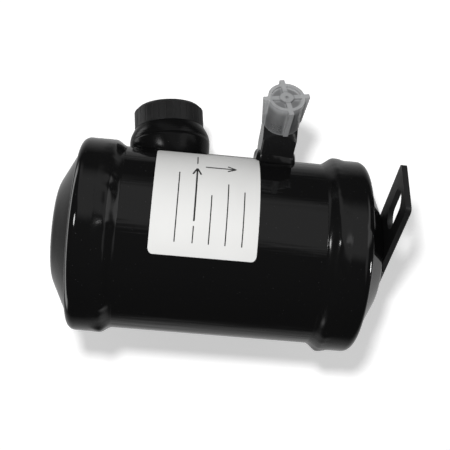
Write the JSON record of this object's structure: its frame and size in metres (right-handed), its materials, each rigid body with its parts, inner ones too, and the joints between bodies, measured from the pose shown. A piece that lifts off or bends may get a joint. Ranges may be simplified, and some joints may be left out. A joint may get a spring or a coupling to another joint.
{
  "type": "refrigeration oil separator",
  "caption": "Upright welded steel oil separator with two capped gas ports, a capped oil return elbow, a float valve inside, a blank label and a slotted foot plate.",
  "frame": {"origin": "on the vessel axis, at the underside of the foot plate", "axes": "+Z along the vessel axis, upwards as installed; -Y is the front, where the foot plate reaches out and the label is"},
  "size_m": [0.1332, 0.1605, 0.183],
  "materials": {
    "black_enamel": "glossy black enamel",
    "weld_enamel": "glossy black enamel over weld beads",
    "black_cap": "satin black polyethylene",
    "clear_cap": "cloudy translucent polyethylene",
    "label_paper": "satin white label film with plain rules and arrows",
    "bare_steel": "plain drawn steel",
    "brass": "turned brass"
  },
  "bodies": {
    "vessel": {"shell_tube": "black_enamel", "top_cap": "black_enamel", "bottom_cap": "black_enamel", "top_weld": "weld_enamel", "bottom_weld": "weld_enamel", "foot_plate": "black_enamel", "foot_weld": "weld_enamel", "outlet_spigot": "black_enamel", "outlet_weld": "weld_enamel", "inlet_spigot": "black_enamel", "inlet_weld": "weld_enamel", "oil_return_elbow": "black_enamel", "oil_return_weld": "weld_enamel", "label": "label_paper", "outlet_screen": "bare_steel", "inlet_screen": "bare_steel", "sump_baffle": "bare_steel", "magnet": "bare_steel", "valve_body": "brass", "valve_seat": "bare_steel", "pivot_pin": "bare_steel"},
    "outlet_cover": {"outlet_cap": "black_cap"},
    "inlet_cover": {"inlet_cap": "black_cap"},
    "oil_return_cover": {"oil_return_cap": "clear_cap"},
    "float": {"float_arm": "bare_steel", "float_ball": "brass"},
    "valve_needle": {"needle": "bare_steel"}
  },
  "joints": [
    {"name": "outlet_cap_pull", "type": "slide", "parent": "vessel", "child": "outlet_cover", "axis": [0.9203, -0.3718, 0.1219], "range_m": [0, 0.014]},
    {"name": "inlet_cap_pull", "type": "slide", "parent": "vessel", "child": "inlet_cover", "axis": [0.3746, 0.9272, 0], "range_m": [0, 0.014]},
    {"name": "oil_return_cap_pull", "type": "slide", "parent": "vessel", "child": "oil_return_cover", "axis": [0, -1, 0], "range_m": [0, 0.018]},
    {"name": "float_swing", "type": "hinge", "parent": "vessel", "child": "float", "pos_m": [0.02106, -0.01964, 0.0764], "axis": [0.682, 0.7314, 0], "range_deg": [0, 15]},
    {"name": "needle_lift", "type": "slide", "parent": "vessel", "child": "valve_needle", "axis": [-0.7314, 0.682, 0], "range_m": [0, 0.003]}
  ],
  "couplings": [
    {"joint": "needle_lift", "follows": "float_swing", "m_per_rad": 0.011}
  ]
}
